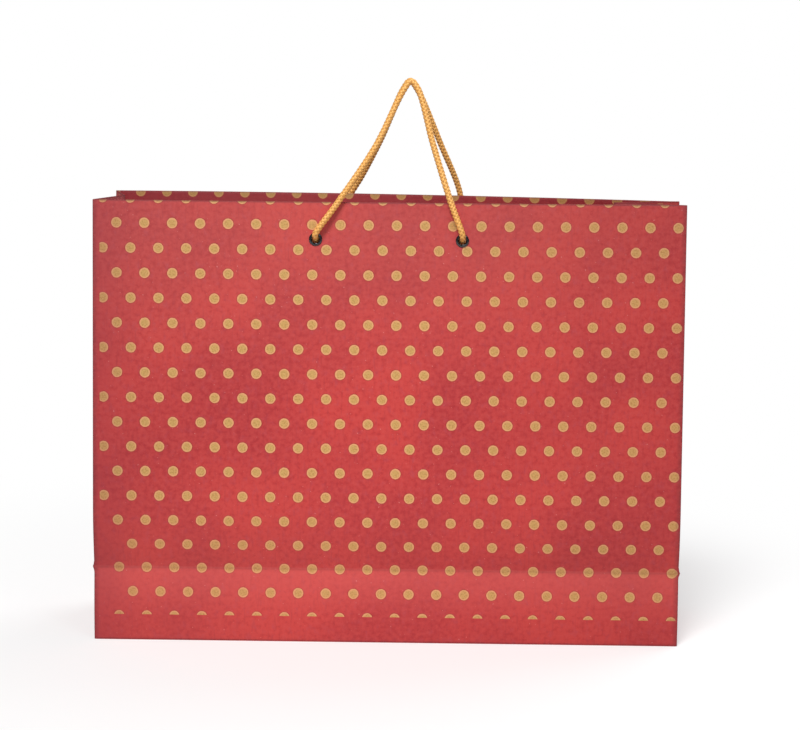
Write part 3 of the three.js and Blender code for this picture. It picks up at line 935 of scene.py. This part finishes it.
class Graph:
    """A material or world, built node by node. Each call adds a node and returns its output."""

    def __init__(self, name, kind="materials", shader="Principled BSDF"):
        self.owner = getattr(bpy.data, kind).new(name)
        self.owner.use_nodes = True
        self.tree = self.owner.node_tree
        self.shader = self.tree.nodes[shader]

    def feed(self, socket, value):
        if isinstance(value, Value):
            self.tree.links.new(value.socket, socket)
        else:
            socket.default_value = value

    def node(self, kind, output, inputs, **settings):
        made = self.tree.nodes.new(kind)
        for key, value in settings.items():
            setattr(made, key, value)
        for key, value in inputs.items():
            self.feed(made.inputs[key], value)
        return Value(self, made.outputs[output])

    def math(self, operation, *values):
        return self.node("ShaderNodeMath", 0, dict(enumerate(values)), operation=operation)

    def attribute(self, name):
        return self.node("ShaderNodeAttribute", "Vector", {}, attribute_name=name)

    def split(self, vector):
        x = self.node("ShaderNodeSeparateXYZ", 0, {0: vector})
        return [Value(self, socket) for socket in x.socket.node.outputs]

    def join(self, x, y):
        return self.node("ShaderNodeCombineXYZ", 0, {0: x, 1: y})

    def noise(self, vector, size, detail, roughness=0.5):
        """Noise from 0 to 1 whose features are about size across."""
        inputs = {"Vector": vector, "Scale": 1 / size, "Detail": detail, "Roughness": roughness}
        return self.node("ShaderNodeTexNoise", "Fac", inputs)

    def mix(self, share, a, b):
        """Colour a, with a share of colour b."""
        return self.node("ShaderNodeMix", 2, {0: share, 6: a, 7: b}, data_type="RGBA")

    def over(self, colour, *layers):
        """A colour with others laid over it in turn, each given as (share, red, green, blue)."""
        for share, *tint in layers:
            colour = self.mix(share, colour, srgb(*tint))
        return colour

    def bump(self, height, distance, strength):
        inputs = {"Height": height, "Distance": distance * MM, "Strength": strength}
        return self.node("ShaderNodeBump", "Normal", inputs)

    def finish(self, **inputs):
        for key, value in inputs.items():
            self.feed(self.shader.inputs[key.replace("_", " ")], value)
        return self.owner


def dot_field(graph, u, v, flat):
    """Distance from the nearest printed dot's centre, far away where nothing is printed."""
    row = ((v - FIRST_ROW) * (1 / ROW_PITCH)).math("ROUND")
    down = v - row * ROW_PITCH - FIRST_ROW
    along = u - FIRST_DOT + row.math("FLOORED_MODULO", 2) * (DOT_PITCH / 2) - v * PRINT_LEAN
    along = along - u.ramp(WIDTH, WIDTH + 2 * HALF_GUSSET, 0, BACK_PRINT_SHIFT)
    across = along - (along * (1 / DOT_PITCH)).math("ROUND") * DOT_PITCH
    distance = (across * across + down * down).math("SQRT")
    uneven_edge = graph.noise(flat, 1.6, 3) * 0.5 - 0.25
    trimmed = u.math("LESS_THAN", LOW_ROWS_LEFT_EDGE) * v.math("GREATER_THAN", LOW_ROWS_TOP)
    beyond = u.math("LESS_THAN", PRINT_LEFT_EDGE).math("MAXIMUM", v.math("GREATER_THAN", PRINT_FOOT))
    return distance + uneven_edge + beyond.math("MAXIMUM", trimmed) * FAR_FROM_PRINT


def red_ground(graph, flat, u, v, mottle, grain):
    """Red ink, unevenly laid, scuffed and speckled, with a painted pale sheen near the rim, painted light
    just below the crease and painted shade just above it.
    """
    clouds = graph.noise(flat, 90, 2)
    streaks = graph.noise(graph.join(u * 5, v * 0.6), 9, 3)
    bruises = graph.noise(graph.join(u * 1.6, v), 7, 4, 0.65)
    specks = graph.noise(flat, 1.7, 1)
    # Painted sheen: a pale pinkish wash near the rim, fading out toward the front's right corner.
    pale_share = v.ramp(150, 0, 0, 0.13) * u.ramp(430, 250)
    # Painted light on the strip just below the crease, fading toward the base.
    painted_light_below_crease = v.ramp(CREASE_V - 0.4, CREASE_V + 0.6) * v.ramp(296, 256)
    # Painted shade on the band just above the crease.
    painted_shade_above_crease = v.ramp(238, 253) * v.ramp(CREASE_V + 0.4, CREASE_V - 0.4)
    return graph.over(
        srgb(184, 46, 50),
        (clouds.ramp(0.35, 0.65), 208, 60, 56),
        (mottle.ramp(0.3, 0.75, 0, 0.5), 216, 80, 76),
        (mottle.ramp(0.5, 0.25, 0, 0.45), 166, 38, 46),
        (streaks.ramp(0.5, 0.75, 0, 0.4), 174, 46, 52),
        (grain.ramp(0.62, 0.8, 0, 0.3), 222, 92, 86),
        (bruises.ramp(0.5, 0.72, 0, 0.4), 184, 70, 84),
        (pale_share, 206, 128, 120),
        (painted_light_below_crease * 0.34, 232, 104, 100),
        (painted_shade_above_crease * 0.04, 120, 30, 36),
        (specks.ramp(0.73, 0.79, 0, 0.55), 232, 150, 146))


def gold_dots(graph, colour, distance, flat, shaded_wall_hem):
    """Gold ink with a lighter ring and a dark halo, printed over the red."""
    wobble = graph.noise(flat, 2.4, 3) * 1.2 - 0.6
    ring = (distance + wobble).ramp(DOT_RADIUS - 1.3, DOT_RADIUS - 0.6)
    gold = graph.over(
        srgb(214, 170, 100),
        (graph.noise(flat, 1.1, 3, 0.65).ramp(0.42, 0.68), 186, 140, 76),
        (graph.noise(flat, 0.8, 2).ramp(0.55, 0.75, 0, 0.5), 228, 194, 130),
        (ring * 0.75, 238, 172, 120),
        # Painted shade darkens the gold on the hem turned in on the broad walls.
        (shaded_wall_hem * 0.6, 160, 116, 58))
    halo = distance.ramp(DOT_RADIUS + 0.9, DOT_RADIUS + 0.1, 0, 0.5)
    colour = graph.over(colour, (halo, 150, 58, 38))
    return graph.mix(distance.ramp(DOT_RADIUS + 0.1, DOT_RADIUS - 0.1), colour, gold)


def painted_shading(graph, colour, flat, u, v, rim, fold_shade):
    """Painted shade and light: darker and redder toward the sides and on the right, darker at the top
    right, lighter low on the left, and darker along the front's left edge, the rim and the folds, where
    noise breaks the shade up.
    """
    turn = (u - 0.48 * WIDTH) * (math.tau / GIRTH)
    toward_sides = (turn * 2).math("COSINE") * -0.5 + 0.5
    toward_right = turn.math("SINE") * 0.5 + 0.5
    # Painted shade along the folds, broken up by noise.
    patchy_fold_shade = fold_shade * graph.noise(flat, 2, 3).ramp(0.3, 0.6, 0.55, 1)
    return graph.over(
        colour,
        # Painted shade toward the sides.
        (toward_sides * 0.2, 96, 22, 26),
        # Painted shade on the right.
        (toward_right * 0.12, 168, 24, 26),
        # Painted shade near the rim on the right.
        (toward_right * v.ramp(90, 10, 0, 0.1), 110, 64, 60),
        # Painted light low down on the left.
        ((1 - toward_right) * v.ramp(180, 260, 0, 0.14), 240, 96, 92),
        # Painted shade along the front's left edge.
        (u.ramp(42, 0, 0, 0.26), 130, 34, 52),
        # Painted shade along the rim fold.
        (rim * 0.5, 104, 24, 32),
        (patchy_fold_shade * 0.8, 96, 34, 40))


def printed_paper(name="printed_paper", dots=True):
    graph = Graph(name)
    # The paper attribute's third part is the share of painted shade along the folds.
    u, v, fold_shade = graph.split(graph.attribute("paper"))
    flat = graph.join(u, v)
    mottle = graph.noise(flat, 3.2, 3, 0.6)
    grain = graph.noise(flat, 0.7, 2, 0.6)
    round_bag = (u + 3).math("FLOORED_MODULO", WIDTH + 2 * HALF_GUSSET)
    on_wall = round_bag.math("LESS_THAN", WIDTH + 6)
    inside = v.ramp(-0.3, -1.2)
    # Share of the hem turned in on the broad walls, which painted shade darkens.
    shaded_wall_hem = inside * on_wall
    colour = graph.over(red_ground(graph, flat, u, v, mottle, grain), (shaded_wall_hem * 0.8, 132, 26, 38),
                        # Painted pink highlight on the hems turned in on the folded sides.
                        ((inside - shaded_wall_hem) * 0.85, 198, 92, 98))
    if dots:
        unprinted = v.ramp(1.6, 0.8) * (1 - on_wall)
        distance = dot_field(graph, u, v, flat) + unprinted * FAR_FROM_PRINT
        colour = gold_dots(graph, colour, distance, flat, shaded_wall_hem)
    # The rim fold line, where painted shade darkens the colour and the paper is rougher.
    rim = (v - 0.1).math("ABSOLUTE").ramp(1.5, 0.8)
    return graph.finish(Base_Color=painted_shading(graph, colour, flat, u, v, rim, fold_shade),
                        Roughness=mottle.ramp(0.2, 0.8, 0.44, 0.58) + rim * 0.25,
                        Normal=graph.bump(mottle * 0.6 + grain * 0.4, 0.1, 0.35))


def plain_paper():
    graph = Graph("paper_reverse")
    flat = graph.attribute("paper")
    fibres = graph.noise(flat, 1.4, 4, 0.65)
    white = graph.over(srgb(232, 226, 218), (fibres.ramp(0.35, 0.7), 242, 238, 232),
                       (graph.noise(flat, 24, 2).ramp(0.4, 0.7, 0, 0.25), 230, 214, 208))
    return graph.finish(Base_Color=white, Roughness=fibres.ramp(0.2, 0.8, 0.72, 0.88),
                        Normal=graph.bump(fibres, 0.08, 0.4))


def card_board():
    graph = Graph("card_board")
    flat = graph.attribute("paper")
    fibres = graph.noise(flat, 0.9, 4, 0.7)
    grey = graph.over(srgb(206, 200, 190), (fibres.ramp(0.3, 0.7), 226, 221, 212),
                      (graph.noise(flat, 2.6, 2).ramp(0.64, 0.74, 0, 0.6), 168, 158, 146))
    return graph.finish(Base_Color=grey, Roughness=fibres.ramp(0.2, 0.8, 0.78, 0.92),
                        Normal=graph.bump(fibres, 0.15, 0.5))


def black_nickel():
    graph = Graph("black_nickel")
    position = graph.attribute("metal")
    stretched = graph.node("ShaderNodeMapping", 0, {0: position, 3: (0.35, 3, 3)})
    scratches = graph.noise(stretched, 0.5, 3, 0.6)
    dirt = graph.noise(position, 1.3, 3)
    tone = graph.over(srgb(70, 70, 74), (dirt.ramp(0.4, 0.7), 104, 102, 102))
    return graph.finish(Base_Color=tone, Metallic=1, Roughness=scratches.ramp(0.3, 0.75, 0.12, 0.26),
                        Normal=graph.bump(scratches, 0.02, 0.3))


def gold_cord():
    graph = Graph("gold_cord")
    across, along, height = graph.split(graph.attribute("strand"))
    threads = (across * 38).math("SINE")
    spots = graph.noise(graph.join(across * 3, along), 0.8, 3)
    slubs = graph.noise(graph.join(0, along), 14, 2)
    # Painted shade in the gaps between strands, lighter on the strand tops.
    tone = graph.over(srgb(156, 78, 6), (height.ramp(0.1, 0.75), 242, 176, 90),
                      # Painted highlights: pale spots on the strands.
                      (spots.ramp(0.53, 0.72, 0, 0.6), 255, 228, 162),
                      (slubs.ramp(0.45, 0.7, 0, 0.25), 232, 184, 108))
    return graph.finish(Base_Color=tone, Metallic=0.12, Roughness=spots.ramp(0.3, 0.7, 0.4, 0.55),
                        Normal=graph.bump(spots * 0.6 + threads * 0.4, 0.05, 0.5))


# ---- Studio


def floor_material():
    """Pale floor that fades to white away from the bag, and bounces less light than it shows."""
    graph = Graph("studio_floor")
    place = graph.node("ShaderNodeTexCoord", "Object", {})
    seen = graph.node("ShaderNodeLightPath", "Is Camera Ray", {})
    tone = graph.over(srgb(244, 244, 244), (graph.noise(place, 1.5, 2), 247, 247, 247))
    material = graph.finish(Base_Color=graph.mix(seen, srgb(190, 190, 190), tone), Roughness=0.9)
    x, y, _ = graph.split(place)
    pale_share = (x * x + y * y).math("SQRT").ramp(0.1, 0.6, 0.3) * seen
    lit = Value(graph, graph.shader.outputs[0])
    glow = graph.node("ShaderNodeEmission", 0, {"Color": (1, 1, 1, 1), "Strength": 1})
    blend = graph.node("ShaderNodeMixShader", 0, {0: pale_share, 1: lit, 2: glow})
    graph.feed(graph.tree.nodes["Material Output"].inputs["Surface"], blend)
    return material


def floor_and_light():
    low, size = -0.1, 6000
    points = [(-size, -size, low), (size, -size, low), (size, size, low), (-size, size, low)]
    new_object("studio_floor", points, [(0, 1, 2, 3)], [floor_material()])
    bpy.context.scene.world = white_surround()
    bpy.context.scene.view_settings.view_transform = "Standard"
    soft_light("key_light", (-0.7, -2.35, 3.4), (-0.02, 0.0, 0.15), 1.6, 150)
    soft_light("fill_light", (1.1, -1.6, 1.6), (0.0, 0.0, 0.15), 0.8, 6)
    soft_light("back_light", (1.6, 1.5, 1.9), (0.0, 0.0, 0.15), 2.2, 30)


def white_surround():
    """White to the camera, and dimmer as a light."""
    graph = Graph("studio", "worlds", "Background")
    seen = graph.node("ShaderNodeLightPath", "Is Camera Ray", {})
    strength = graph.node("ShaderNodeMapRange", "Result", {"Value": seen, "To Min": 0.2})
    return graph.finish(Color=(1, 1, 1, 1), Strength=strength)


def soft_light(name, place, target, size, power):
    """A round lamp. Places are metres and power is watts."""
    data = bpy.data.lights.new(name, "AREA")
    data.shape = "DISK"
    data.size = size
    data.energy = power
    light = linked_object(name, data)
    light.location = place
    light.rotation_mode = "QUATERNION"
    light.rotation_quaternion = (Vector(target) - Vector(place)).to_track_quat("-Z", "Y")


CAMERA_LENS = 83.13
CAMERA_PLACE = (0.0235, -1.2923, 0.3902)
CAMERA_TURN = 0.692
CAMERA_DOWN = 8.899
CAMERA_ROLL = 0.546


def camera():
    """The photograph's view. Angles are degrees and the place is metres."""
    data = bpy.data.cameras.new("camera")
    data.sensor_width = 36
    data.lens = CAMERA_LENS
    turn = Matrix.Rotation(math.radians(CAMERA_TURN), 4, "Z")
    tilt = Matrix.Rotation(math.radians(90 - CAMERA_DOWN), 4, "X")
    roll = Matrix.Rotation(math.radians(CAMERA_ROLL), 4, "Z")
    viewer = linked_object("camera", data)
    viewer.matrix_world = Matrix.Translation(CAMERA_PLACE) @ turn @ tilt @ roll
    bpy.context.scene.camera = viewer


def build():
    sheet = [printed_paper(), plain_paper()]
    unprinted = printed_paper("unprinted_red_paper", dots=False)
    board, metal, gold = card_board(), black_nickel(), gold_cord()
    card_edge = HALF - CARD_END_GAP
    for wall in (FRONT, BACK):
        wall_sheet(wall, sheet)
        wall_slab(wall, wall.name + "_rim_stiffener", wall.name + "_rim_card", (-card_edge, card_edge),
                  (HEM_FOOT + 4, HEIGHT - 0.45), CARD_LAYER, board, 130, 12, "board")
        for number in (0, 1):
            eyelet_pieces(wall, number, metal)
        cord_piece(wall, gold)
    lap_start = LAP_EDGE_GAP - HALF
    wall_slab(FRONT, "side_seam_glued_lap", "side_seam_lap", (lap_start, lap_start + LAP_WIDTH),
              (CREASE + 2, HEM_FOOT - 6), LAP_LAYER, sheet[1], 6, 70, "paper")
    for side in (-1, 1):
        gusset_foot(side, sheet)
        for half in (-1, 1):
            gusset_sheet(side, half, sheet)
    for flap in ("front", "back", "left", "right"):
        softened_copy(f"base_{flap}_flap", f"base_{flap}_turned_flap", "base", unprinted, "paper", 0.08)
    softened_copy("base_insert", "base_insert_board", "insert", board, "board", 0.3)
    floor_and_light()
    camera()


build()
